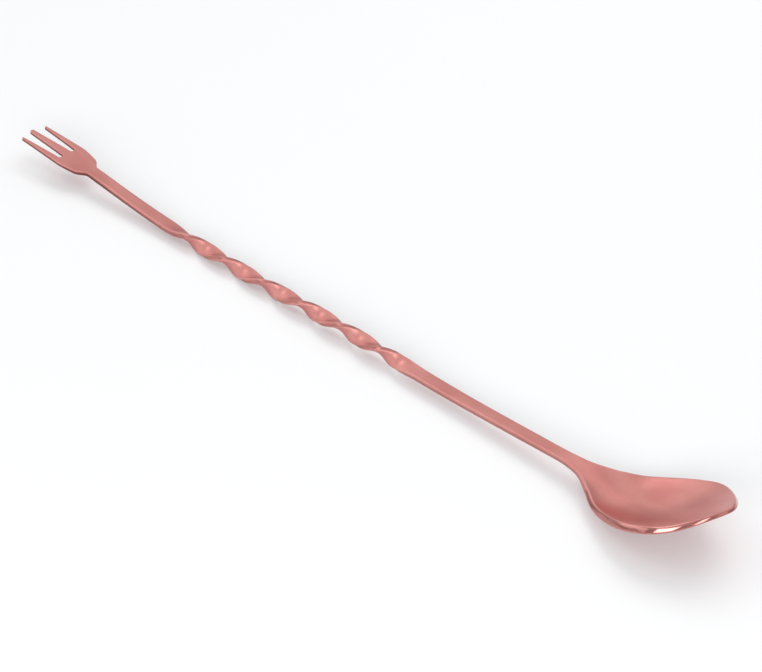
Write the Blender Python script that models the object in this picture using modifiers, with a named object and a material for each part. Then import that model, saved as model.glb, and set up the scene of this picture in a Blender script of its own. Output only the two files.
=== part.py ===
"""Bar spoon: a three-tine fork head, a strip stem twisted in the middle, and a spoon bowl.

+X points from the fork to the bowl and +Z is up. The spoon lies at rest with the bowl's
hollow up: the stem's first twists and the underside of the bowl touch Z = 0.
"""

import math

import bmesh
import bpy

# Driving dimensions are in millimetres; the meshes are made in metres.
MM = 0.001

SHEET = 1.7  # thickness of the stem strip and of the bowl
EDGE_RADIUS = 0.4  # rounding of the long edges
WELD_GAP = 0.3  # root gap of the two butt welds, polished flush before plating
EDGE_STEPS = 3  # facets of each rounded edge

# The meshes are moved along X so that the origin lies under the middle of the length.
CENTRE_SHIFT = 0.67

FORK_TIP_X = -140.0
FORK_NECK_X = -110.0
BOWL_NECK_X = 76.0
BOWL_TIP_X = 138.0
# Height of the middle of the strip along the spoon, as (x, z).
STEM_LINE = (
    (-140.0, 7.0),
    (-124.0, 6.4),
    (-112.0, 5.45),
    (-101.0, 4.3),
    (-91.0, 3.35),
    (-82.0, 2.75),
    (-71.0, 2.35),
    (-56.0, 2.28),
    (-40.0, 2.33),
    (-24.0, 3.0),
    (-10.0, 3.35),
    (8.0, 3.45),
    (24.0, 3.35),
    (34.0, 3.4),
    (46.0, 3.7),
    (62.0, 4.35),
    (76.0, 4.95),
    (90.0, 5.5),
)
# Width of the strip along the stem, as (x, width).
STEM_WIDTH = (
    (-112.0, 3.8),
    (-86.0, 4.1),
    (-60.0, 4.4),
    (18.0, 4.4),
    (46.0, 4.1),
    (76.0, 4.0),
)
TWIST_START_X = -75.6
TWIST_END_X = 19.3
TWIST_EASE = 5.0  # length over which the twist starts and stops
HALF_TURNS = 6  # left-handed
STRAIGHT_STEP = 4.0  # length between cuts where the strip is straight
TWIST_STEP = 1.25  # and where it is twisted

FORK_THICKNESS = 1.1  # at the tines
FORK_TAPER = 12.0  # length over which the fork thins from the sheet's thickness
FORK_STEP = 2.0  # length between the cuts that let it bend
FORK_EDGE_RADIUS = 0.3
# Half of the fork's outline from the neck to the middle tip, as (x, y, corner radius).
FORK_CORNERS = (
    (FORK_NECK_X, 1.9, 0.0),
    (-113.1, 1.9, 1.4),
    (-115.6, 4.1, 3.5),
    (-121.5, 5.2, 12.0),
    (-138.8, 4.65, 0.25),
    (-138.8, 4.05, 0.25),
    (-123.7, 3.05, 0.7),
    (-123.7, 1.5, 0.7),
    (FORK_TIP_X, 0.65, 0.6),
)
CORNER_STEP = math.radians(22.0)  # turn between two points on a rounded corner

BOWL_WIDEST_X = 118.5
BOWL_HALF_WIDTH = 13.95
BOWL_POINT = 0.50  # how much the front narrows against a plain ellipse
BOWL_POINT_POWER = 2.2
# Half-width of the hollow from the neck to its widest place, as (x, half-width).
BOWL_REAR = (
    (72.0, 2.0),
    (76.0, 2.0),
    (81.0, 2.2),
    (86.5, 3.1),
    (92.2, 5.6),
    (98.5, 9.1),
    (105.9, 12.0),
    (112.0, 13.5),
    (118.5, 13.95),
    (125.0, 13.95),
)
# Height of the rim's inner edge, as (x, z).
RIM_LINE = (
    (70.0, 5.5),
    (76.0, 5.8),
    (82.0, 6.0),
    (88.0, 5.8),
    (94.0, 5.15),
    (99.0, 5.1),
    (105.9, 6.9),
    (113.3, 9.5),
    (119.5, 11.9),
    (128.6, 15.5),
    (138.2, 20.8),
    (145.0, 24.0),
)
# How steeply the hollow's cross-section curves, as (x, 1/mm): depth = curve * half-width squared.
BOWL_CURVE = (
    (70.0, 0.0),
    (78.0, 0.0),
    (86.0, 0.025),
    (92.0, 0.046),
    (98.5, 0.0391),
    (105.9, 0.031),
    (117.0, 0.0245),
    (124.0, 0.0195),
    (130.0, 0.016),
    (145.0, 0.018),
)
# Thickness of the bowl's sheet at the rim, as (x, thickness). In the middle it is the strip's.
RIM_SHEET = (
    (70.0, 1.7),
    (80.0, 1.7),
    (90.0, 1.65),
    (96.0, 1.8),
    (102.0, 2.1),
    (112.0, 2.25),
    (120.0, 2.15),
    (128.0, 1.8),
    (134.0, 1.5),
    (138.0, 1.3),
)
THICKEST_RIM = 2.3
BOWL_ROWS = 44  # of the sheet's grid, from the neck to the tip
BOWL_COLUMNS = 16
BOWL_FRONT_ROWS = 15  # those from the widest place to the tip

# Edges that turn more than this are rounded, on the bowl's rim and on the bar's long sides.
SHARP_ANGLE = math.radians(60.0)
# The fork's outline turns less at its facets than at its top and bottom edges.
FORK_SHARP_ANGLE = math.radians(50.0)
FLAT_ANGLE = math.radians(0.5)  # faces that turn less than this are one flat face
WELD_DISTANCE = 1e-4  # points nearer than this are one
CUT_DISTANCE = 1e-5  # points nearer than this to a cut lie on it
LEVEL_DISTANCE = 1e-3  # an edge shorter than this along X runs across the bar

COPPER_PLATE = (0.60, 0.235, 0.205, 1.0)
PLATE_ROUGHNESS = 0.28


def along(stations, x):
    """The smooth curve through the stations, as a Catmull-Rom spline, held straight past its ends."""
    last = len(stations) - 2
    index = 0
    while index < last and x > stations[index + 1][0]:
        index += 1
    (x0, y0), (x1, y1) = stations[index], stations[index + 1]
    chord = (y1 - y0) / (x1 - x0)
    start_slope, end_slope = chord, chord
    if index > 0:
        before = stations[index - 1]
        start_slope = (y1 - before[1]) / (x1 - before[0])
    if index < last:
        after = stations[index + 2]
        end_slope = (after[1] - y0) / (after[0] - x0)
    t = (x - x0) / (x1 - x0)
    if t < 0.0:
        return y0 + (x - x0) * start_slope
    if t > 1.0:
        return y1 + (x - x1) * end_slope
    length = x1 - x0
    rise = y0 * (1 + 2 * t) * (1 - t) ** 2 + y1 * (3 - 2 * t) * t**2
    bend = start_slope * t * (1 - t) ** 2 - end_slope * (1 - t) * t**2
    return rise + bend * length


def collection_for(name):
    collection = bpy.data.collections.new(name)
    bpy.context.scene.collection.children.link(collection)
    return collection


def plated(name):
    material = bpy.data.materials.new(name)
    material.use_nodes = True
    shader = material.node_tree.nodes["Principled BSDF"]
    shader.inputs["Base Color"].default_value = COPPER_PLATE
    shader.inputs["Metallic"].default_value = 1.0
    shader.inputs["Roughness"].default_value = PLATE_ROUGHNESS
    return material


def add_object(name, mesh, collection):
    """An object of this mesh, with its own material and smooth faces."""
    mesh.materials.append(plated(name + "_plate"))
    mesh.polygons.foreach_set("use_smooth", [True] * len(mesh.polygons))
    piece = bpy.data.objects.new(name, mesh)
    piece.location.x = CENTRE_SHIFT * MM
    collection.objects.link(piece)
    return piece


def add_bevel(piece, radius, edge_angle):
    bevel = piece.modifiers.new("rounded_edges", "BEVEL")
    bevel.width = radius * MM
    bevel.segments = EDGE_STEPS
    bevel.limit_method = "ANGLE"
    bevel.angle_limit = edge_angle


def cut_across(shape, x_values):
    """Cuts the shape with a plane across X at each value, so that it can bend there."""
    for x in x_values:
        bmesh.ops.bisect_plane(
            shape,
            geom=list(shape.verts) + list(shape.edges) + list(shape.faces),
            plane_co=(x, 0.0, 0.0),
            plane_no=(1.0, 0.0, 0.0),
            dist=CUT_DISTANCE,
        )


def steps_between(start, end, step):
    """Even steps from start to end, leaving out both ends."""
    count = max(1, round((end - start) / step))
    return [start + (end - start) * index / count for index in range(1, count)]


def to_mesh(shape, name):
    """The bmesh, made in millimetres, as a mesh in metres."""
    bmesh.ops.scale(shape, vec=(MM, MM, MM), verts=shape.verts)
    mesh = bpy.data.meshes.new(name)
    shape.to_mesh(mesh)
    shape.free()
    return mesh


def twist_at(x):
    """The strip's turn about its own length at x, in radians."""
    length = TWIST_END_X - TWIST_START_X
    run = x - TWIST_START_X

    def ramp(distance):
        """Distance that starts at nought with no sudden change of rate."""
        t = min(1.0, max(0.0, 0.5 + distance / (2 * TWIST_EASE)))
        return TWIST_EASE * t * t if t < 1.0 else distance

    turned = ramp(run) - ramp(run - length)
    return -math.pi * HALF_TURNS * turned / length


def make_stem(collection):
    """A flat bar with rounded long edges, then twisted and bent along the stem's line."""
    start = FORK_NECK_X + WELD_GAP / 2
    end = BOWL_NECK_X - WELD_GAP / 2
    bar = bmesh.new()
    bmesh.ops.create_cube(bar, size=1.0)
    bmesh.ops.scale(bar, vec=(end - start, 1.0, SHEET), verts=bar.verts)
    bmesh.ops.translate(bar, vec=((start + end) / 2, 0.0, 0.0), verts=bar.verts)
    twist_from = TWIST_START_X - TWIST_EASE
    twist_to = TWIST_END_X + TWIST_EASE
    cut_across(
        bar,
        steps_between(start, twist_from, STRAIGHT_STEP)
        + [twist_from]
        + steps_between(twist_from, twist_to, TWIST_STEP)
        + [twist_to]
        + steps_between(twist_to, end, STRAIGHT_STEP),
    )
    for corner in bar.verts:
        corner.co.y *= along(STEM_WIDTH, corner.co.x)
    long_edges = [edge for edge in bar.edges if len(edge.link_faces) == 2 and is_corner(edge)]
    bmesh.ops.bevel(
        bar,
        geom=long_edges,
        offset=EDGE_RADIUS,
        offset_type="OFFSET",
        segments=EDGE_STEPS,
        profile=0.5,
        affect="EDGES",
    )
    for corner in bar.verts:
        x, y, z = corner.co
        turn = twist_at(x)
        corner.co.y = y * math.cos(turn) - z * math.sin(turn)
        corner.co.z = y * math.sin(turn) + z * math.cos(turn) + along(STEM_LINE, x)
    add_object("twisted_stem", to_mesh(bar, "twisted_stem"), collection)


def is_corner(edge):
    """True on the four long edges of the bar: they run along X between a side and a flat."""
    runs_along = abs(edge.verts[0].co.x - edge.verts[1].co.x) > LEVEL_DISTANCE
    return runs_along and edge.calc_face_angle() > SHARP_ANGLE


def rounded(corners):
    """The line through the corners with each corner rounded to its own radius, as (x, y) points."""
    points = [corners[0][:2]]
    for before, here, after in zip(corners, corners[1:], corners[2:]):
        (ax, ay), (bx, by), (cx, cy) = before[:2], here[:2], after[:2]
        radius = here[2]
        into = math.atan2(by - ay, bx - ax)
        out = math.atan2(cy - by, cx - bx)
        turn = math.remainder(out - into, 2 * math.pi)
        reach = radius * math.tan(abs(turn) / 2)
        side = math.copysign(math.pi / 2, turn)
        centre_x = bx - reach * math.cos(into) + radius * math.cos(into + side)
        centre_y = by - reach * math.sin(into) + radius * math.sin(into + side)
        count = max(2, round(abs(turn) / CORNER_STEP))
        for index in range(count + 1):
            heading = into + turn * index / count - side
            points.append(
                (
                    centre_x + radius * math.cos(heading),
                    centre_y + radius * math.sin(heading),
                )
            )
    points.append(corners[-1][:2])
    return points


def fork_outline():
    """The closed outline of the fork head, its two halves mirrored about the long axis."""
    middle_tip = (FORK_TIP_X, 0.0, 0.0)
    half = rounded(FORK_CORNERS + (middle_tip,))
    other_half = [(x, -y) for x, y in reversed(half[:-1])]
    return half + other_half


def make_fork(collection):
    """The outline extruded to a plate, thinned toward the tines and bent along the stem's line."""
    curve = bpy.data.curves.new("fork_outline", "CURVE")
    curve.dimensions = "2D"
    curve.fill_mode = "BOTH"
    curve.extrude = SHEET / 2
    outline = fork_outline()
    spline = curve.splines.new("POLY")
    spline.points.add(len(outline) - 1)
    for point, (x, y) in zip(spline.points, outline):
        point.co = (x, y, 0.0, 1.0)
    spline.use_cyclic_u = True
    guide = bpy.data.objects.new("fork_outline", curve)
    collection.objects.link(guide)
    evaluated = guide.evaluated_get(bpy.context.evaluated_depsgraph_get())
    flat = bpy.data.meshes.new_from_object(evaluated)
    bpy.data.objects.remove(guide)

    plate = bmesh.new()
    plate.from_mesh(flat)
    bpy.data.meshes.remove(flat)
    bmesh.ops.remove_doubles(plate, verts=plate.verts, dist=WELD_DISTANCE)
    bmesh.ops.dissolve_limit(
        plate, angle_limit=FLAT_ANGLE, verts=plate.verts, edges=plate.edges
    )
    cut_across(plate, steps_between(FORK_TIP_X, FORK_NECK_X, FORK_STEP))
    for corner in plate.verts:
        x = corner.co.x
        thinned = min(1.0, (FORK_NECK_X - x) / FORK_TAPER)
        eased = thinned * thinned * (3 - 2 * thinned)
        thickness = SHEET + (FORK_THICKNESS - SHEET) * eased
        corner.co.z *= thickness / SHEET
        corner.co.z += along(STEM_LINE, x)
    fork = add_object("fork_head", to_mesh(plate, "fork_head"), collection)
    add_bevel(fork, FORK_EDGE_RADIUS, FORK_SHARP_ANGLE)


def half_width(x):
    """Half-width of the bowl's hollow at x."""
    if x <= BOWL_WIDEST_X:
        return along(BOWL_REAR, x)
    front = min(1.0, (x - BOWL_WIDEST_X) / (BOWL_TIP_X - BOWL_WIDEST_X))
    return BOWL_HALF_WIDTH * math.sqrt(1 - front**2) * pointed(front)


def pointed(front):
    """How far the bowl narrows against an ellipse, at this fraction of the way to the tip."""
    return 1 - BOWL_POINT * front**BOWL_POINT_POWER


def bowl_height(x, y):
    """Height of the hollow's surface: a parabola across the bowl that meets the rim's line."""
    return along(RIM_LINE, x) - along(BOWL_CURVE, x) * (half_width(x) ** 2 - y**2)


def rimness(x, y):
    """How near a point of the bowl is to its rim: nought on the bowl's middle line, one at the rim."""
    if x <= BOWL_WIDEST_X:
        return (y / half_width(x)) ** 2
    front = (x - BOWL_WIDEST_X) / (BOWL_TIP_X - BOWL_WIDEST_X)
    return front**2 + (y / (BOWL_HALF_WIDTH * pointed(front))) ** 2


def sheet_at(x, y):
    """Thickness of the bowl's sheet."""
    return SHEET + (along(RIM_SHEET, x) - SHEET) * rimness(x, y)


def bowl_plan(row, across):
    """Where a point of the sheet lies in plan: rows run from the neck, across is -1 to 1."""
    rear_rows = BOWL_ROWS - BOWL_FRONT_ROWS
    if row <= rear_rows:
        start = BOWL_NECK_X + WELD_GAP / 2
        x = start + (BOWL_WIDEST_X - start) * row / rear_rows
        return x, across * half_width(x)
    # The front rows bend round until the last one lies along the rim.
    forward = (row - rear_rows) / BOWL_FRONT_ROWS
    front = forward * math.sqrt(1 - across**2 / 2)
    x = BOWL_WIDEST_X + (BOWL_TIP_X - BOWL_WIDEST_X) * front
    y = across * BOWL_HALF_WIDTH * math.sqrt(1 - forward**2 / 2) * pointed(front)
    return x, y


def make_bowl(collection):
    """An open sheet shaped to the hollow, thickened downward, with a rounded rim."""
    sheet = bmesh.new()
    bmesh.ops.create_grid(
        sheet, x_segments=BOWL_ROWS, y_segments=BOWL_COLUMNS, size=0.5
    )
    weights = sheet.verts.layers.deform.verify()
    for corner in sheet.verts:
        row = (corner.co.x + 0.5) * BOWL_ROWS
        x, y = bowl_plan(round(row), 2 * corner.co.y)
        corner.co = (x, y, bowl_height(x, y))
        corner[weights][0] = sheet_at(x, y) / THICKEST_RIM
    bowl = add_object("spoon_bowl", to_mesh(sheet, "spoon_bowl"), collection)
    share = bowl.vertex_groups.new(name="thickness_share")
    thicken = bowl.modifiers.new("sheet_thickness", "SOLIDIFY")
    thicken.thickness = THICKEST_RIM * MM
    thicken.vertex_group = share.name
    thicken.offset = -1.0
    thicken.use_even_offset = True
    add_bevel(bowl, EDGE_RADIUS, SHARP_ANGLE)


def main():
    for leftover in list(bpy.data.objects):
        bpy.data.objects.remove(leftover)
    collection = collection_for("bar_spoon")
    make_fork(collection)
    make_stem(collection)
    make_bowl(collection)


main()
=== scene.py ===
"""Looks of the bar spoon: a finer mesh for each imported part, and a worn copper-plate finish.

Lengths are millimetres in the part's own layout, where X runs from the fork to the bowl, Y goes
across and Z is up. Each piece is made there, and is then moved to the CAD fork's place in metres.
"""

import math

import bmesh
import bpy
from mathutils import Matrix, Vector


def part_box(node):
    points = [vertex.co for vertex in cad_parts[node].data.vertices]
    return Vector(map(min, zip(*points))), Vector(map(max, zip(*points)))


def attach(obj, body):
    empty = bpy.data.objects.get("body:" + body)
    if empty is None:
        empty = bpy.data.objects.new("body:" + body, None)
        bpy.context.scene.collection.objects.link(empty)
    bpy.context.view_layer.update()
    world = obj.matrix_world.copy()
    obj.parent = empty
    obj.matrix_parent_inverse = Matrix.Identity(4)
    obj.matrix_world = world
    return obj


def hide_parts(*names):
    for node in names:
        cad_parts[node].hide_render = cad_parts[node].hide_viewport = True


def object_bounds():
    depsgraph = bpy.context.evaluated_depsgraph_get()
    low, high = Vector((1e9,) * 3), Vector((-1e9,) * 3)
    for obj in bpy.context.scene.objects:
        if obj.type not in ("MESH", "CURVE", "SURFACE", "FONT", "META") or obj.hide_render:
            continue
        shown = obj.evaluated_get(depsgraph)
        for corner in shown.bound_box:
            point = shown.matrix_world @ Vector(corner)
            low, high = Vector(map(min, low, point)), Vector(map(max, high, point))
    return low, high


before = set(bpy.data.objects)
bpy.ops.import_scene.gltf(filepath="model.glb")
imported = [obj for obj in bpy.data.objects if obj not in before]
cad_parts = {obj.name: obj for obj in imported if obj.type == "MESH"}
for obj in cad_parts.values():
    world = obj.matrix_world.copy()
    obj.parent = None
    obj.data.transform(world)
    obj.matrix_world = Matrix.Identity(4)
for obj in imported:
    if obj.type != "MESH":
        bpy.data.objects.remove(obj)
CAD_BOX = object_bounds()

MM = 0.001

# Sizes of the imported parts. Only the roundings of the fork's edges and outer tips differ a little.
SHEET = 1.7  # thickness of the strip
EDGE_RADIUS = 0.4  # on the stem's long edges and round the bowl's rim
FORK_EDGE_RADIUS = 0.28
FORK_TIP_X = -140.0
FORK_NECK_X = -110.0
BOWL_NECK_X = 76.0
BOWL_TIP_X = 138.0
# Height of the middle of the strip along the spoon, as (x, z).
STEM_LINE = (
    (-140.0, 7.0),
    (-124.0, 6.4),
    (-112.0, 5.45),
    (-101.0, 4.3),
    (-91.0, 3.35),
    (-82.0, 2.75),
    (-71.0, 2.35),
    (-56.0, 2.28),
    (-40.0, 2.33),
    (-24.0, 3.0),
    (-10.0, 3.35),
    (8.0, 3.45),
    (24.0, 3.35),
    (34.0, 3.4),
    (46.0, 3.7),
    (62.0, 4.35),
    (76.0, 4.95),
    (90.0, 5.5),
)
# Width of the strip along the stem, as (x, width).
STEM_WIDTH = (
    (-112.0, 3.8),
    (-86.0, 4.1),
    (-60.0, 4.4),
    (18.0, 4.4),
    (46.0, 4.1),
    (76.0, 4.0),
)
# Radius of the strip's long edges, as (x, radius).
STEM_EDGE = (
    (FORK_NECK_X, FORK_EDGE_RADIUS),
    (-100.0, EDGE_RADIUS),
    (BOWL_NECK_X, EDGE_RADIUS),
)
TWIST_START_X = -75.6
TWIST_END_X = 19.3
TWIST_EASE = 5.0  # half the length over which the twist starts or ends
HALF_TURNS = 6  # left-handed

FORK_THICKNESS = 1.1  # at the tines
FORK_TAPER = 12.0  # length over which the fork thins to that
# Half of the fork's outline from the neck to the middle tip, as (x, y, corner radius).
FORK_CORNERS = (
    (FORK_NECK_X, 1.9, 0.0),
    (-113.1, 1.9, 1.4),
    (-115.6, 4.1, 3.5),
    (-121.5, 5.2, 12.0),
    (-138.8, 4.65, 0.3),
    (-138.8, 4.05, 0.3),
    (-123.7, 3.05, 0.7),
    (-123.7, 1.5, 0.7),
    (FORK_TIP_X, 0.65, 0.6),
)

BOWL_WIDEST_X = 118.5
BOWL_HALF_WIDTH = 13.95
# How much the bowl's front narrows against a plain ellipse, and how late.
BOWL_POINT = 0.50
BOWL_POINT_POWER = 2.2
# Half-width of the hollow from the neck to its widest place and level beyond, as (x, half-width).
BOWL_REAR = (
    (72.0, 2.0),
    (76.0, 2.0),
    (81.0, 2.2),
    (86.5, 3.1),
    (92.2, 5.6),
    (98.5, 9.1),
    (105.9, 12.0),
    (112.0, 13.5),
    (BOWL_WIDEST_X, BOWL_HALF_WIDTH),
    (125.0, BOWL_HALF_WIDTH),
)
# Height of the rim's inner edge, as (x, z).
RIM_LINE = (
    (70.0, 5.5),
    (76.0, 5.8),
    (82.0, 6.0),
    (88.0, 5.8),
    (94.0, 5.15),
    (99.0, 5.1),
    (105.9, 6.9),
    (113.3, 9.5),
    (119.5, 11.9),
    (128.6, 15.5),
    (138.2, 20.8),
    (145.0, 24.0),
)
# How steeply the hollow's cross-section curves, as (x, 1/mm).
BOWL_CURVE = (
    (70.0, 0.0),
    (78.0, 0.0),
    (86.0, 0.025),
    (92.0, 0.046),
    (98.5, 0.0391),
    (105.9, 0.031),
    (117.0, 0.0245),
    (124.0, 0.0195),
    (130.0, 0.016),
    (145.0, 0.018),
)
# Thickness of the bowl's sheet at the rim, as (x, thickness). In the middle it is the strip's.
RIM_SHEET = (
    (70.0, 1.7),
    (80.0, 1.7),
    (90.0, 1.65),
    (96.0, 1.8),
    (102.0, 2.1),
    (112.0, 2.25),
    (120.0, 2.15),
    (128.0, 1.8),
    (134.0, 1.5),
    (138.0, 1.3),
)

# How fine these meshes are.
STATION_STEP = 0.5  # between the stem's cross-sections
FACE_COLUMNS = 6  # across the stem's flats
ARC_STEPS = 5  # round an edge
CORNER_STEP = math.radians(10.0)  # round a corner of the fork's outline
LEAST_CORNER_STEPS = 2
FORK_STEP = 0.5  # between the cuts across the fork
BOWL_ROWS = 170  # along the bowl and its neck
BOWL_FRONT_ROWS = 60  # of these, the ones in front of the widest place
BOWL_COLUMNS = 60  # across the bowl
WELD_DISTANCE = 1e-4  # under which two points are one
FLAT_ANGLE = math.radians(0.5)  # under which two faces are one
FORK_SPARE = 1.0  # extra length at the fork's neck, cut off again
STEM_LAP = 0.04  # by which the stem runs into the bowl's neck, so that no gap shows
SLOPE_STEP = 1e-3  # over which the hollow's slope is measured

FLAT_ATTRIBUTE = "flat_place"  # where each point lies on the untwisted, unbent sheet
EDGE_ATTRIBUTE = "edge_wear_and_wall_shade"  # 1 on the rounded edges, where polishing and handling bite; it also places the painted shade on the walls

# Copper plate, in linear colour.
COPPER = (0.72, 0.310, 0.282, 1.0)
COPPER_DEEP = (0.640, 0.248, 0.226, 1.0)
COPPER_WORN = (0.780, 0.390, 0.355, 1.0)

# Low on the cut walls the colour is darkened to brown: painted shade, deepest on the fork's slot
# walls and lighter on the stem and bowl.
COPPER_IN_PAINTED_SHADE = (0.21, 0.060, 0.050, 1.0)
PAINTED_SHADE_FADE = (-108.0, -70.0)  # the painted shade thins between these X
PAINTED_SHADE_AT_FORK, PAINTED_SHADE_AT_STEM = 0.97, 0.45  # its share of the colour
PAINTED_SHADE_BOTTOM, PAINTED_SHADE_TOP = 0.0, 0.70  # heights on the flat sheet between which it fades out

# The numbers of a colour mix's sockets, whose names repeat for each kind of data.
MIX_FACTOR, MIX_FIRST, MIX_SECOND, MIX_COLOUR = 0, 6, 7, 2

# Grain of the finish over the flat sheet, in millimetres along X, Y and Z.
CLOUD_GRAIN = (14.0, 7.0, 7.0)
SMUDGE_GRAIN = (4.5, 2.6, 2.6)
BRUSH_GRAIN = (5.0, 0.16, 0.16)
SATIN_GRAIN = (0.22, 0.12, 0.12)
RIPPLE_GRAIN = (6.0, 3.5, 3.5)
# Turn of a grain off the sheet's length, in radians.
SMUDGE_TURN, RIPPLE_TURN = 0.4, -0.3
# Levels of finer noise within a grain.
DETAIL, BRUSH_DETAIL, RIPPLE_DETAIL, SCRATCH_DETAIL = 3.0, 5.0, 1.0, 0.0
# Two sets of scratches, as (turn, grain, width in units of noise).
SCRATCHES = (
    (0.55, (9.0, 1.1, 1.1), 0.006),
    (-0.35, (12.0, 1.7, 1.7), 0.004),
)
NOISE_MIDDLE = 0.5
# The values of noise between which a layer goes from its least to its most.
CLOUD_SPREAD = (0.35, 0.65)
SPREAD = (0.3, 0.7)
WORN_SHARE = (0.1, 0.4)  # the worn colour's share of an edge, least and most
WALL_START, WALL_FULL = 0.3, 0.9  # how far round its edge the sheet counts as wall

ROUGHNESS = (0.33, 0.41)
BRUSH_ROUGHNESS = (-0.03, 0.04)  # what the brushing takes off or adds
SCRATCH_ROUGHNESS = 0.08
# By how much less rough the edges are on the stem and on the bowl, and where along X it grows.
EDGE_POLISH_STEM, EDGE_POLISH_BOWL = 0.05, 0.27
EDGE_POLISH_FADE = (78.0, 98.0)
# Depths of the surface's detail, in millimetres.
BRUSH_DEPTH = 0.0008
SATIN_DEPTH = 0.0004
RIPPLE_DEPTH = 0.010
SCRATCH_DEPTH = 0.0014

# The studio, with lengths in metres.
FLOOR_SIZE = 6.0
FLOOR_ROUGHNESS = 0.9
FLOOR_COLOUR = (0.635, 0.635, 0.635, 1.0)
# The paper glows a little, which is painted light that keeps its shadows pale.
FLOOR_GLOW = (0.105, 0.115, 0.125, 1.0)
WORLD_STRENGTH = 1.0
# Brightness of the surroundings, as (height of the direction, level).
WORLD_LEVELS = ((0.0, 0.50), (0.3, 0.57), (0.55, 0.76), (0.75, 0.88), (1.0, 0.90))
# Lamps, as (name, azimuth, elevation, distance, (width, height), radiance).
SOFTBOXES = (
    ("left", -93.0, 28.0, 1.0, (0.95, 0.45), 0.42),
    ("left_key", -56.0, 50.0, 1.0, (0.32, 0.24), 1.9),
    ("low_left", -50.0, 12.0, 1.0, (0.80, 0.24), 0.75),
    ("front_left", 2.0, 16.0, 1.0, (0.42, 0.26), 4.8),
    ("front", 33.0, 16.0, 1.0, (0.12, 0.26), 4.4),
    ("front_right", 62.0, 16.0, 1.0, (0.50, 0.26), 0.50),
)
# One more lamp, near the bowl, and how far along X its target is from the spoon's middle.
BOWL_LAMP = ("behind_bowl", -158.0, 42.0, 0.4, (0.34, 0.24), 0.30)
BOWL_LAMP_X = 0.1
# The lamps that shape the shadow, from behind and from low in front. They stay out of reflections.
SHADOW_LAMPS = (
    ("behind", 190.0, 57.0, 1.2, (0.9, 0.6), 2.8),
    ("low_front", 40.0, 24.0, 1.0, (0.70, 0.30), 7.6),
)

# The view, with lengths in metres.
VIEW_AZIMUTH = 46.2
VIEW_ELEVATION = 35.0
VIEW_DISTANCE = 1.3
VIEW_LENS, VIEW_SENSOR = 221.1, 36.0  # focal length and sensor width, in millimetres
VIEW_CLIP_START, VIEW_CLIP_END = 0.05, 20.0
VIEW_AIM = Vector((-0.00103, 0.0094, -0.0009))  # from the point under the spoon's middle


def along(stations, x):
    """The smooth curve (Catmull-Rom) through the stations, going straight on past its ends."""
    last = len(stations) - 2
    index = 0
    while index < last and x > stations[index + 1][0]:
        index += 1
    (x0, y0), (x1, y1) = stations[index], stations[index + 1]
    chord = (y1 - y0) / (x1 - x0)
    start_slope, end_slope = chord, chord
    if index > 0:
        before = stations[index - 1]
        start_slope = (y1 - before[1]) / (x1 - before[0])
    if index < last:
        after = stations[index + 2]
        end_slope = (after[1] - y0) / (after[0] - x0)
    t = (x - x0) / (x1 - x0)
    if t < 0.0:
        return y0 + (x - x0) * start_slope
    if t > 1.0:
        return y1 + (x - x1) * end_slope
    length = x1 - x0
    rise = y0 * (1 + 2 * t) * (1 - t) ** 2 + y1 * (3 - 2 * t) * t**2
    bend = start_slope * t * (1 - t) ** 2 - end_slope * (1 - t) * t**2
    return rise + bend * length


# ---------------------------------------------------------------- meshes
# Each piece is made as a flat sheet with its middle at z = 0, and is then bent into shape.


def bent(shape, bend, wear, name, shift):
    """The flat piece bent into shape and moved to the frame. Each point keeps its flat place."""
    bmesh.ops.recalc_face_normals(shape, faces=shape.faces)
    place = shape.verts.layers.float_vector.new(FLAT_ATTRIBUTE)
    edge = shape.verts.layers.float.new(EDGE_ATTRIBUTE)
    for vert in shape.verts:
        vert[place] = vert.co
        vert[edge] = wear(vert.co)
        vert.co = (bend(vert.co) + shift) * MM
    mesh = bpy.data.meshes.new(name)
    shape.to_mesh(mesh)
    shape.free()
    mesh.polygons.foreach_set("use_smooth", [True] * len(mesh.polygons))
    piece = bpy.data.objects.new(name, mesh)
    bpy.context.scene.collection.objects.link(piece)
    return piece


def quarter_arc(radius):
    """Points round an edge from the top to the side, as (distance still to go outward, drop)."""
    turns = [math.pi / 2 * index / ARC_STEPS for index in range(ARC_STEPS + 1)]
    return [(radius * (1 - math.sin(turn)), radius * (1 - math.cos(turn))) for turn in turns]


def strip_section(width, radius):
    """The strip's cross-section as (y, z), starting near the top's left and going round."""
    half = width / 2
    flat = half - radius
    top = [(flat * (2 * index / FACE_COLUMNS - 1), SHEET / 2) for index in range(1, FACE_COLUMNS)]
    corner = [(half - inward, SHEET / 2 - drop) for inward, drop in quarter_arc(radius)]
    lower_corner = [(y, -z) for y, z in reversed(corner)]
    right_side = top + corner + lower_corner
    return right_side + [(-y, -z) for y, z in right_side]


def join_lines(shape, before, after):
    """Faces between two lines of as many points."""
    for a, b, c, d in zip(before, before[1:], after[1:], after):
        shape.faces.new((a, b, c, d))


def keep_apart(ends):
    """Keeps these end faces out of the smooth shading, so that no dark line shows at a weld."""
    for face in ends:
        for edge in face.edges:
            edge.smooth = False


def close(shape):
    """Fills the open end of a piece, where it meets its neighbour."""
    open_edges = [edge for edge in shape.edges if edge.is_boundary]
    filled = bmesh.ops.holes_fill(shape, edges=open_edges, sides=len(open_edges))
    keep_apart(filled["faces"])


def flat_strip():
    """The stem as a straight strip: its cross-section carried from neck to neck."""
    shape = bmesh.new()
    length = BOWL_NECK_X + STEM_LAP - FORK_NECK_X
    count = round(length / STATION_STEP)
    rings = []
    for station in range(count + 1):
        x = FORK_NECK_X + length * station / count
        section = strip_section(along(STEM_WIDTH, x), along(STEM_EDGE, x))
        rings.append([shape.verts.new((x, y, z)) for y, z in section])
    for before, after in zip(rings, rings[1:]):
        join_lines(shape, before + before[:1], after + after[:1])
    keep_apart([shape.faces.new(rings[0]), shape.faces.new(rings[-1])])
    return shape


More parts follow.
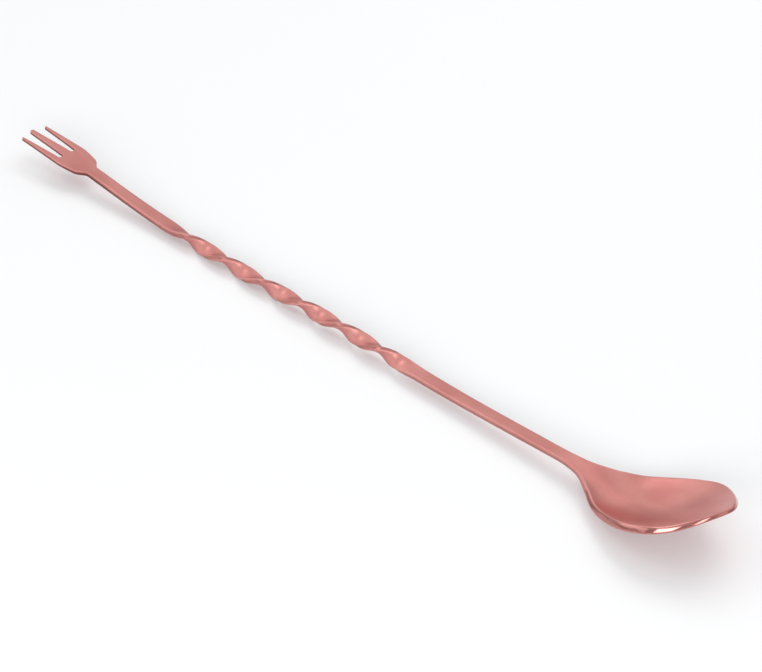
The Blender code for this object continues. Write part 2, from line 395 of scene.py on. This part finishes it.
def twist_at(x):
    """The strip's turn about its own length at x, in radians."""
    length = TWIST_END_X - TWIST_START_X
    run = x - TWIST_START_X

    def ramp(distance):
        """Distance that starts at nought with no sudden change of rate."""
        t = min(1.0, max(0.0, 0.5 + distance / (2 * TWIST_EASE)))
        return TWIST_EASE * t * t if t < 1.0 else distance

    return -math.pi * HALF_TURNS * (ramp(run) - ramp(run - length)) / length


def on_stem_line(x, y, z):
    """A point of a straight strip, moved onto the stem's line and square to it."""
    rise = along(STEM_LINE, x + SLOPE_STEP) - along(STEM_LINE, x - SLOPE_STEP)
    up = Vector((-rise, 0.0, 2 * SLOPE_STEP)).normalized()
    return Vector((x, y, along(STEM_LINE, x))) + up * z


def twist(place):
    """Where a point of the straight strip goes."""
    turned = Matrix.Rotation(twist_at(place.x), 3, "X") @ Vector((0.0, place.y, place.z))
    return on_stem_line(place.x, turned.y, turned.z)


def strip_wear(place):
    """How far a point of the strip is round its edge, from 0 to 1."""
    inward = along(STEM_WIDTH, place.x) / 2 - abs(place.y)
    return max(0.0, 1.0 - inward / EDGE_RADIUS)


def rounded(corners):
    """The line through the corners with each corner rounded to its own radius, as (x, y) points."""
    points = [corners[0][:2]]
    for before, here, after in zip(corners, corners[1:], corners[2:]):
        (ax, ay), (bx, by), (cx, cy) = before[:2], here[:2], after[:2]
        radius = here[2]
        into = math.atan2(by - ay, bx - ax)
        out = math.atan2(cy - by, cx - bx)
        turn = math.remainder(out - into, 2 * math.pi)
        reach = radius * math.tan(abs(turn) / 2)
        side = math.copysign(math.pi / 2, turn)
        centre_x = bx - reach * math.cos(into) + radius * math.cos(into + side)
        centre_y = by - reach * math.sin(into) + radius * math.sin(into + side)
        count = max(LEAST_CORNER_STEPS, round(abs(turn) / CORNER_STEP))
        for index in range(count + 1):
            heading = into + turn * index / count - side
            points.append(
                (centre_x + radius * math.cos(heading), centre_y + radius * math.sin(heading))
            )
    points.append(corners[-1][:2])
    return points


def fork_outline():
    """The closed outline of the fork head, its two halves mirrored about the long axis."""
    spare = (FORK_NECK_X + FORK_SPARE, FORK_CORNERS[0][1], 0.0)
    middle_tip = (FORK_TIP_X, 0.0, 0.0)
    half = rounded((spare, *FORK_CORNERS[1:], middle_tip))
    other_half = [(x, -y) for x, y in reversed(half[:-1])]
    return half + other_half


def flat_fork():
    """The fork as a flat plate: its outline filled, with rounded edges, cut across to bend."""
    curve = bpy.data.curves.new("fork_outline", "CURVE")
    curve.dimensions = "2D"
    curve.fill_mode = "BOTH"
    curve.bevel_depth = FORK_EDGE_RADIUS
    curve.bevel_resolution = ARC_STEPS - 1
    curve.extrude = SHEET / 2 - FORK_EDGE_RADIUS
    curve.offset = -FORK_EDGE_RADIUS
    outline = fork_outline()
    spline = curve.splines.new("POLY")
    spline.points.add(len(outline) - 1)
    for point, (x, y) in zip(spline.points, outline):
        point.co = (x, y, 0.0, 1.0)
    spline.use_cyclic_u = True
    guide = bpy.data.objects.new("fork_outline", curve)
    bpy.context.scene.collection.objects.link(guide)
    depsgraph = bpy.context.evaluated_depsgraph_get()
    flat = bpy.data.meshes.new_from_object(guide.evaluated_get(depsgraph))
    bpy.data.objects.remove(guide)

    shape = bmesh.new()
    shape.from_mesh(flat)
    bpy.data.meshes.remove(flat)
    bmesh.ops.remove_doubles(shape, verts=shape.verts, dist=WELD_DISTANCE)
    bmesh.ops.dissolve_limit(shape, angle_limit=FLAT_ANGLE, verts=shape.verts, edges=shape.edges)
    count = round((FORK_NECK_X - FORK_TIP_X) / FORK_STEP)
    for index in range(1, count + 1):
        bmesh.ops.bisect_plane(
            shape,
            geom=list(shape.verts) + list(shape.edges) + list(shape.faces),
            plane_co=(FORK_TIP_X + FORK_STEP * index, 0.0, 0.0),
            plane_no=(1.0, 0.0, 0.0),
            dist=WELD_DISTANCE,
            clear_outer=index == count,
        )
    close(shape)
    return shape


def bend_fork(place):
    """Where a point of the flat fork goes: thinned toward the tines and onto the stem's line."""
    thinned = min(1.0, (FORK_NECK_X - place.x) / FORK_TAPER)
    eased = thinned * thinned * (3 - 2 * thinned)
    thickness = SHEET + (FORK_THICKNESS - SHEET) * eased
    return on_stem_line(place.x, place.y, place.z * thickness / SHEET)


def plate_wear(place):
    """How far a point of a plate is round its edge, from 0 to 1, by its depth below the face."""
    below_top = SHEET / 2 - abs(place.z)
    return min(1.0, below_top / FORK_EDGE_RADIUS)


def pointed(front):
    """The share of an ellipse's width that is left, at this fraction of the way to the tip."""
    return 1 - BOWL_POINT * front**BOWL_POINT_POWER


def half_width_squared(x):
    """Square of the hollow's half-width at x. It runs on smoothly past the tip."""
    if x <= BOWL_WIDEST_X:
        return along(BOWL_REAR, x) ** 2
    front = (x - BOWL_WIDEST_X) / (BOWL_TIP_X - BOWL_WIDEST_X)
    return (1 - front**2) * (BOWL_HALF_WIDTH * pointed(front)) ** 2


def half_width(x):
    """Half-width of the bowl's hollow at x."""
    return math.sqrt(half_width_squared(x))


def rimness(x, y):
    """How near a point of the bowl is to its rim: nought on the middle line, one at the rim."""
    if x <= BOWL_WIDEST_X:
        return y**2 / half_width_squared(x)
    front = (x - BOWL_WIDEST_X) / (BOWL_TIP_X - BOWL_WIDEST_X)
    return front**2 + (y / (BOWL_HALF_WIDTH * pointed(front))) ** 2


def sheet_at(x, y):
    """Thickness of the bowl's sheet."""
    return SHEET + (along(RIM_SHEET, x) - SHEET) * rimness(x, y)


def bowl_height(x, y):
    """Height of the hollow's surface: a parabola across the bowl that meets the rim's line."""
    return along(RIM_LINE, x) - along(BOWL_CURVE, x) * (half_width_squared(x) - y**2)


def bowl_plan(row, across):
    """Where a point lies in plan. Rows run from the neck and across is -1 to 1, and both of its
    ends lie one edge radius inside the rim."""
    rear_rows = BOWL_ROWS - BOWL_FRONT_ROWS
    if row <= rear_rows:
        x = BOWL_NECK_X + (BOWL_WIDEST_X - BOWL_NECK_X) * row / rear_rows
        slope = (half_width(x + SLOPE_STEP) - half_width(x - SLOPE_STEP)) / (2 * SLOPE_STEP)
        return x, across * (half_width(x) - EDGE_RADIUS * math.hypot(1.0, slope))
    # The front rows bend round until the last one lies along the rim.
    forward = (row - rear_rows) / BOWL_FRONT_ROWS
    front = forward * math.sqrt(1 - across**2 / 2)
    x = BOWL_WIDEST_X + (BOWL_TIP_X - EDGE_RADIUS - BOWL_WIDEST_X) * front
    half = (BOWL_HALF_WIDTH - EDGE_RADIUS) * pointed(front)
    return x, across * half * math.sqrt(1 - forward**2 / 2)


def outward_directions(places):
    """For points that go round a shape's left side first, the level direction out of it at each.
    At both ends it is straight across, so that the neck's end stays flat."""
    found = []
    for before, after in zip(places, places[2:]):
        run = after - before
        found.append(Vector((run.y, -run.x, 0.0)).normalized())
    return [Vector((0.0, -1.0, 0.0))] + found + [Vector((0.0, 1.0, 0.0))]


def flat_bowl():
    """The bowl and its neck as a flat plate with a rounded rim."""
    shape = bmesh.new()
    # The grid runs from -0.5 to 0.5 both ways.
    bmesh.ops.create_grid(shape, x_segments=BOWL_ROWS, y_segments=BOWL_COLUMNS, size=0.5)
    grid = {}
    for vert in shape.verts:
        row = round((vert.co.x + 0.5) * BOWL_ROWS)
        column = round((vert.co.y + 0.5) * BOWL_COLUMNS)
        grid[row, column] = vert
        vert.co = (*bowl_plan(row, 2 * column / BOWL_COLUMNS - 1), SHEET / 2)
    left = [grid[row, 0] for row in range(BOWL_ROWS)]
    tip = [grid[BOWL_ROWS, column] for column in range(BOWL_COLUMNS + 1)]
    right = [grid[row, BOWL_COLUMNS] for row in reversed(range(BOWL_ROWS))]
    inner = left + tip + right
    places = [vert.co.copy() for vert in inner]
    outward = outward_directions(places)
    previous = inner
    for inward, drop in quarter_arc(EDGE_RADIUS)[1:] + [(0.0, SHEET / 2)]:
        reach = EDGE_RADIUS - inward
        down = Vector((0.0, 0.0, -drop))
        ring = [shape.verts.new(p + out * reach + down) for p, out in zip(places, outward)]
        join_lines(shape, previous, ring)
        previous = ring
    everything = list(shape.verts) + list(shape.edges) + list(shape.faces)
    bmesh.ops.mirror(shape, geom=everything, axis="Z", merge_dist=WELD_DISTANCE)
    close(shape)
    return shape


def bend_bowl(place):
    """Where a point of the flat plate goes: onto the hollow, and down into the sheet."""
    x, y, z = place
    along_slope = bowl_height(x + SLOPE_STEP, y) - bowl_height(x - SLOPE_STEP, y)
    across_slope = bowl_height(x, y + SLOPE_STEP) - bowl_height(x, y - SLOPE_STEP)
    up = Vector((-along_slope, -across_slope, 2 * SLOPE_STEP)).normalized()
    depth = (0.5 - z / SHEET) * sheet_at(x, y)
    return Vector((x, y, bowl_height(x, y))) - up * depth


def make_pieces():
    """The three fine pieces, each standing for its CAD node."""
    fork_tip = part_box("fork_head")[0].x / MM
    shift = Vector((fork_tip - FORK_TIP_X, 0.0, 0.0))
    finish = copper_plate()
    made = (
        ("fork_head", flat_fork(), bend_fork, plate_wear),
        ("twisted_stem", flat_strip(), twist, strip_wear),
        ("spoon_bowl", flat_bowl(), bend_bowl, plate_wear),
    )
    for node, flat, bend, wear in made:
        piece = bent(flat, bend, wear, node + "_plated", shift)
        piece.data.materials.append(finish)
        even_shading = piece.modifiers.new("even_shading", "WEIGHTED_NORMAL")
        even_shading.keep_sharp = True
        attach(piece, "root")
        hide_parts(node)


# ---------------------------------------------------------------- finish


def add_node(tree, kind, inputs=(), **settings):
    """A node with these settings and (socket, value) inputs, where a value may be an output."""
    node = tree.nodes.new(kind)
    for name, value in settings.items():
        setattr(node, name, value)
    for socket, value in inputs:
        if isinstance(value, bpy.types.NodeSocket):
            tree.links.new(value, node.inputs[socket])
        else:
            node.inputs[socket].default_value = value
    return node


def grain(tree, place, size, turn=0.0, detail=DETAIL):
    """Noise over the flat sheet, whose grain has this size in millimetres along X, Y and Z."""
    laid = add_node(
        tree,
        "ShaderNodeMapping",
        (("Vector", place), ("Rotation", (0.0, 0.0, turn)), ("Scale", size)),
        vector_type="TEXTURE",
    )
    noise = add_node(
        tree,
        "ShaderNodeTexNoise",
        (("Vector", laid.outputs["Vector"]), ("Scale", 1.0), ("Detail", detail)),
    )
    return noise.outputs["Fac"]


def ranged(tree, value, low, high, to_low, to_high):
    """The value, mapped from low..high to to_low..to_high and held there."""
    inputs = (
        ("Value", value),
        ("From Min", low),
        ("From Max", high),
        ("To Min", to_low),
        ("To Max", to_high),
    )
    return add_node(tree, "ShaderNodeMapRange", inputs).outputs["Result"]


def combined(tree, operation, first, second):
    """The result of one operation on two numbers."""
    inputs = ((0, first), (1, second))
    return add_node(tree, "ShaderNodeMath", inputs, operation=operation).outputs[0]


def with_layer(tree, total, layer, weight):
    """The total plus the layer times its weight."""
    return combined(tree, "ADD", total, combined(tree, "MULTIPLY", layer, weight))


def scratches(tree, place, turn, size, width):
    """Long thin marks at this angle: where a stretched noise passes its middle value."""
    noise = grain(tree, place, size, turn, SCRATCH_DETAIL)
    past_middle = combined(tree, "SUBTRACT", noise, NOISE_MIDDLE)
    distance = add_node(tree, "ShaderNodeMath", ((0, past_middle),), operation="ABSOLUTE")
    return ranged(tree, distance.outputs[0], 0.0, width, 1.0, 0.0)


def mixed_colour(tree, factor, first, second):
    """A mix of two colours."""
    inputs = ((MIX_FACTOR, factor), (MIX_FIRST, first), (MIX_SECOND, second))
    mix = add_node(tree, "ShaderNodeMix", inputs, data_type="RGBA")
    return mix.outputs[MIX_COLOUR]


def copper_plate():
    """Satin copper plate: brushed along the sheet, a little cloudy, scratched, worn at the edges,
    with painted shade low on its cut walls.
    """
    material = bpy.data.materials.new("copper_plate_worn")
    material.use_nodes = True
    tree = material.node_tree
    shader = tree.nodes["Principled BSDF"]
    shader.inputs["Metallic"].default_value = 1.0

    place = add_node(tree, "ShaderNodeAttribute", attribute_name=FLAT_ATTRIBUTE).outputs["Vector"]
    edge = add_node(tree, "ShaderNodeAttribute", attribute_name=EDGE_ATTRIBUTE).outputs["Fac"]
    place_parts = add_node(tree, "ShaderNodeSeparateXYZ", (("Vector", place),)).outputs
    clouds = grain(tree, place, CLOUD_GRAIN)
    smudges = grain(tree, place, SMUDGE_GRAIN, SMUDGE_TURN)
    brushing = grain(tree, place, BRUSH_GRAIN, detail=BRUSH_DETAIL)
    satin = grain(tree, place, SATIN_GRAIN)
    ripple = grain(tree, place, RIPPLE_GRAIN, RIPPLE_TURN, RIPPLE_DETAIL)
    first_marks, second_marks = [scratches(tree, place, *marking) for marking in SCRATCHES]
    marks = combined(tree, "MAXIMUM", first_marks, second_marks)

    tint = mixed_colour(tree, ranged(tree, clouds, *CLOUD_SPREAD, 0.0, 1.0), COPPER_DEEP, COPPER)
    worn = combined(tree, "MULTIPLY", edge, ranged(tree, smudges, *SPREAD, *WORN_SHARE))
    colour = mixed_colour(tree, worn, tint, COPPER_WORN)
    # Painted shade: the brown darkening low on the cut walls, strongest at the fork.
    on_walls = ranged(tree, edge, WALL_START, WALL_FULL, 0.0, 1.0)
    share = ranged(tree, place_parts["X"], *PAINTED_SHADE_FADE, PAINTED_SHADE_AT_FORK, PAINTED_SHADE_AT_STEM)
    low_down = ranged(tree, place_parts["Z"], PAINTED_SHADE_BOTTOM, PAINTED_SHADE_TOP, 1.0, 0.0)
    painted_shade = combined(tree, "MULTIPLY", on_walls, combined(tree, "MULTIPLY", share, low_down))
    tree.links.new(mixed_colour(tree, painted_shade, colour, COPPER_IN_PAINTED_SHADE), shader.inputs["Base Color"])

    rough = ranged(tree, smudges, *SPREAD, *ROUGHNESS)
    rough = combined(tree, "ADD", rough, ranged(tree, brushing, *SPREAD, *BRUSH_ROUGHNESS))
    rough = with_layer(tree, rough, marks, SCRATCH_ROUGHNESS)
    polish = ranged(tree, place_parts["X"], *EDGE_POLISH_FADE, EDGE_POLISH_STEM, EDGE_POLISH_BOWL)
    rough = combined(tree, "SUBTRACT", rough, combined(tree, "MULTIPLY", edge, polish))
    tree.links.new(rough, shader.inputs["Roughness"])

    height = combined(tree, "MULTIPLY", brushing, BRUSH_DEPTH)
    height = with_layer(tree, height, satin, SATIN_DEPTH)
    height = with_layer(tree, height, ripple, RIPPLE_DEPTH)
    height = with_layer(tree, height, marks, -SCRATCH_DEPTH)
    bump = add_node(tree, "ShaderNodeBump", (("Height", height), ("Distance", MM)))
    tree.links.new(bump.outputs["Normal"], shader.inputs["Normal"])
    return material


# ---------------------------------------------------------------- studio


def aim(thing, target):
    """Points a light or camera at the target."""
    thing.rotation_euler = (target - thing.location).to_track_quat("-Z", "Y").to_euler()


def toward(azimuth, elevation):
    """The direction of something seen at this azimuth, where 0 is toward -Y and 90 toward +X."""
    a, e = math.radians(azimuth), math.radians(elevation)
    return Vector((math.sin(a) * math.cos(e), -math.cos(a) * math.cos(e), math.sin(e)))


def make_floor(low):
    """A plain white table top under the spoon."""
    shape = bmesh.new()
    bmesh.ops.create_grid(shape, x_segments=1, y_segments=1, size=FLOOR_SIZE / 2)
    mesh = bpy.data.meshes.new("floor")
    shape.to_mesh(mesh)
    shape.free()
    floor = bpy.data.objects.new("floor", mesh)
    floor.location.z = low
    bpy.context.scene.collection.objects.link(floor)
    paper = bpy.data.materials.new("white_paper")
    paper.use_nodes = True
    shader = paper.node_tree.nodes["Principled BSDF"]
    shader.inputs["Base Color"].default_value = FLOOR_COLOUR
    shader.inputs["Roughness"].default_value = FLOOR_ROUGHNESS
    shader.inputs["Specular IOR Level"].default_value = 0.0
    # The paper's glow is painted light that lifts the shadows on the table.
    shader.inputs["Emission Color"].default_value = FLOOR_GLOW
    shader.inputs["Emission Strength"].default_value = 1.0
    mesh.materials.append(paper)


def make_world():
    """Soft white light from all round, dimmer toward the horizon."""
    world = bpy.data.worlds.new("studio")
    bpy.context.scene.world = world
    world.use_nodes = True
    tree = world.node_tree
    direction = add_node(tree, "ShaderNodeTexCoord").outputs["Generated"]
    height = add_node(tree, "ShaderNodeSeparateXYZ", (("Vector", direction),)).outputs["Z"]
    ramp = add_node(tree, "ShaderNodeValToRGB", (("Fac", height),))
    stops = ramp.color_ramp.elements
    while len(stops) < len(WORLD_LEVELS):
        stops.new(1.0)
    for stop, (up, level) in zip(stops, WORLD_LEVELS):
        stop.position = up
        stop.color = (level, level, level, 1.0)
    background = tree.nodes["Background"]
    tree.links.new(ramp.outputs["Color"], background.inputs["Color"])
    background.inputs["Strength"].default_value = WORLD_STRENGTH


def make_softbox(settings, target, reflected=True):
    """A rectangular lamp in this direction from the target, facing it, of this radiance."""
    name, azimuth, elevation, distance, size, radiance = settings
    lamp = bpy.data.lights.new(name, "AREA")
    lamp.shape = "RECTANGLE"
    lamp.size, lamp.size_y = size
    lamp.energy = math.pi * radiance * size[0] * size[1]
    softbox = bpy.data.objects.new(name, lamp)
    softbox.visible_camera = False
    softbox.visible_glossy = reflected
    softbox.location = target + toward(azimuth, elevation) * distance
    aim(softbox, target)
    bpy.context.scene.collection.objects.link(softbox)


def make_camera(target):
    """A long lens on the target, from the view's direction."""
    camera = bpy.data.cameras.new("camera")
    camera.lens = VIEW_LENS
    camera.sensor_width = VIEW_SENSOR
    camera.clip_start, camera.clip_end = VIEW_CLIP_START, VIEW_CLIP_END
    viewer = bpy.data.objects.new("camera", camera)
    viewer.location = target + toward(VIEW_AZIMUTH, VIEW_ELEVATION) * VIEW_DISTANCE
    aim(viewer, target)
    bpy.context.scene.collection.objects.link(viewer)
    bpy.context.scene.camera = viewer


def main():
    """Makes the spoon and its studio."""
    low, high = CAD_BOX
    under_middle = Vector(((low.x + high.x) / 2, (low.y + high.y) / 2, low.z))
    make_pieces()
    make_floor(low.z)
    make_world()
    for settings in SOFTBOXES:
        make_softbox(settings, under_middle)
    make_softbox(BOWL_LAMP, under_middle + Vector((BOWL_LAMP_X, 0.0, 0.0)))
    for settings in SHADOW_LAMPS:
        make_softbox(settings, under_middle, reflected=False)
    make_camera(under_middle + VIEW_AIM)
    view_settings = bpy.context.scene.view_settings
    view_settings.view_transform = "Standard"
    view_settings.look = "None"


main()
